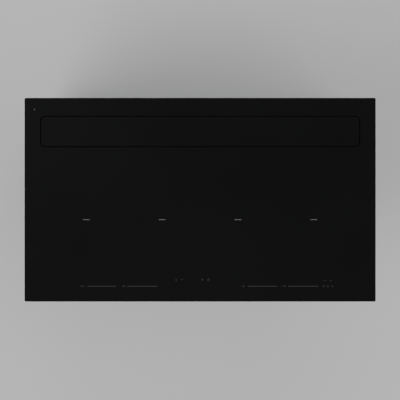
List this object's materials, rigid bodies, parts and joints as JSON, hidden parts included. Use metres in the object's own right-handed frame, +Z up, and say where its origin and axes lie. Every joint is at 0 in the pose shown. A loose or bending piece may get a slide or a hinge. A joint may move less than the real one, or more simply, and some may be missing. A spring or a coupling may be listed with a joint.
{
  "type": "downdraft induction cooktop",
  "caption": "Built-in black glass induction cooktop in a row of zones, with a flush cover at the back that rises on a filter tower, and its chassis, lift, blower and duct outlet below.",
  "frame": {"origin": "on the worktop surface, under the middle of the glass plate; the gasket's underside lies at z = 0", "axes": "+X to the right along the plate's long side, +Y to the wall behind, +Z up out of the worktop"},
  "size_m": [0.9, 0.522, 0.4542],
  "materials": {
    "black_glass": "black glass ceramic, polished, with a fine ground edge",
    "seal_rubber": "matt black silicone and foam rubber",
    "zinc_steel": "zinc-coated folded steel with a faint spangle",
    "mica": "pressed mica sheet",
    "dark_plastic": "black moulded plastic with a fine grain",
    "copper_wire": "enamelled copper litz wire",
    "ferrite": "sintered ferrite, dull grey black",
    "ceramic_white": "white ceramic",
    "aluminium": "mill-finish aluminium",
    "post_plastic": "natural white plastic",
    "board_green": "green circuit board lacquer",
    "parts_blue": "dark sleeves of capacitors and chokes",
    "wheel_plastic": "glass-filled grey-black plastic",
    "bright_steel": "bright zinc-plated steel",
    "clamp_steel": "zinc-plated pressed steel",
    "stainless": "brushed stainless steel",
    "motor_paint": "dark grey enamel",
    "gear_brass": "machined brass",
    "light_lens": "frosted white lens",
    "flap_plastic": "grey moulded plastic"
  },
  "bodies": {
    "casing": {"glass_plate": "black_glass", "worktop_gasket": "seal_rubber", "wiper_seal": "seal_rubber", "base_tray": "zinc_steel", "chassis_shell": "zinc_steel", "blower_box": "zinc_steel", "terminal_box": "zinc_steel", "mica_sheets": "mica", "coil_formers": "dark_plastic", "fan_frames": "dark_plastic", "control_carrier": "dark_plastic", "cable_gland": "dark_plastic", "scroll_housing": "dark_plastic", "outlet_adapter": "dark_plastic", "duct_collar": "dark_plastic", "blower_control_box": "dark_plastic", "lift_gearbox": "dark_plastic", "bearing_blocks": "dark_plastic", "coil_1": "copper_wire", "coil_2": "copper_wire", "coil_3": "copper_wire", "coil_4": "copper_wire", "ferrite_bars": "ferrite", "temperature_sensors": "ceramic_white", "coil_plates": "aluminium", "heat_sinks": "aluminium", "guide_rails": "aluminium", "support_posts": "post_plastic", "power_boards": "board_green", "control_board": "board_green", "board_parts": "parts_blue", "clamp_screws": "bright_steel", "casing_screws": "bright_steel", "flap_pins": "bright_steel", "clamp_brackets": "clamp_steel", "motor_bracket": "clamp_steel", "lift_motor": "motor_paint", "blower_motor": "motor_paint"},
    "tower": {"tower_shell": "stainless", "filter_frame": "zinc_steel", "cover_glass": "black_glass", "cover_carrier": "aluminium", "grease_filter_left": "stainless", "grease_filter_right": "stainless", "light_strip": "light_lens", "lift_legs": "clamp_steel", "racks": "gear_brass", "guide_shoes": "post_plastic"},
    "lift_shaft": {"cross_shaft": "bright_steel", "pinions": "gear_brass"},
    "blower_wheel": {"impeller": "wheel_plastic"},
    "cooling_wheel_left": {"fan_rotor_left": "wheel_plastic"},
    "cooling_wheel_right": {"fan_rotor_right": "wheel_plastic"},
    "left_flap": {"flap_left": "flap_plastic"},
    "right_flap": {"flap_right": "flap_plastic"},
    "drip_drawer": {"drip_tray": "stainless"},
    "front_left_clamp": {"clamp_arm_front_left": "clamp_steel"},
    "front_right_clamp": {"clamp_arm_front_right": "clamp_steel"},
    "back_left_clamp": {"clamp_arm_back_left": "clamp_steel"},
    "back_right_clamp": {"clamp_arm_back_right": "clamp_steel"}
  },
  "joints": [
    {"name": "tower_lift", "type": "slide", "parent": "casing", "child": "tower", "axis": [0, 0, 1], "range_m": [0, 0.18]},
    {"name": "shaft_turn", "type": "hinge", "parent": "casing", "child": "lift_shaft", "pos_m": [0, 0.2245, -0.2], "axis": [-1, 0, 0], "range_deg": [0, 764]},
    {"name": "blower_spin", "type": "hinge", "parent": "casing", "child": "blower_wheel", "pos_m": [0, 0.0096, -0.1962], "axis": [1, 0, 0], "continuous": true},
    {"name": "left_fan_spin", "type": "hinge", "parent": "casing", "child": "cooling_wheel_left", "pos_m": [-0.256, 0.0751, -0.04], "axis": [0, 0, 1], "continuous": true},
    {"name": "right_fan_spin", "type": "hinge", "parent": "casing", "child": "cooling_wheel_right", "pos_m": [0.256, 0.0751, -0.04], "axis": [0, 0, 1], "continuous": true},
    {"name": "left_flap_hinge", "type": "hinge", "parent": "casing", "child": "left_flap", "pos_m": [-0.004, -0.0417, -0.4092], "axis": [0, -1, 0], "range_deg": [0, 80], "stiffness_Nm_per_rad": 0.01, "springref_deg": -57.3},
    {"name": "right_flap_hinge", "type": "hinge", "parent": "casing", "child": "right_flap", "pos_m": [0.004, -0.0417, -0.4092], "axis": [0, 1, 0], "range_deg": [0, 80], "stiffness_Nm_per_rad": 0.01, "springref_deg": -57.3},
    {"name": "drip_tray_slide", "type": "slide", "parent": "casing", "child": "drip_drawer", "axis": [0, -1, 0], "range_m": [0, 0.085]},
    {"name": "front_left_clamp_swing", "type": "hinge", "parent": "casing", "child": "front_left_clamp", "pos_m": [-0.4315, -0.15, -0.028], "axis": [0, 0, 1], "range_deg": [0, 90]},
    {"name": "front_right_clamp_swing", "type": "hinge", "parent": "casing", "child": "front_right_clamp", "pos_m": [0.4315, -0.15, -0.028], "axis": [0, 0, -1], "range_deg": [0, 90]},
    {"name": "back_left_clamp_swing", "type": "hinge", "parent": "casing", "child": "back_left_clamp", "pos_m": [-0.4315, 0.06, -0.028], "axis": [0, 0, -1], "range_deg": [0, 90]},
    {"name": "back_right_clamp_swing", "type": "hinge", "parent": "casing", "child": "back_right_clamp", "pos_m": [0.4315, 0.06, -0.028], "axis": [0, 0, 1], "range_deg": [0, 90]}
  ],
  "couplings": [
    {"joint": "shaft_turn", "follows": "tower_lift", "rad_per_m": 74.074}
  ]
}
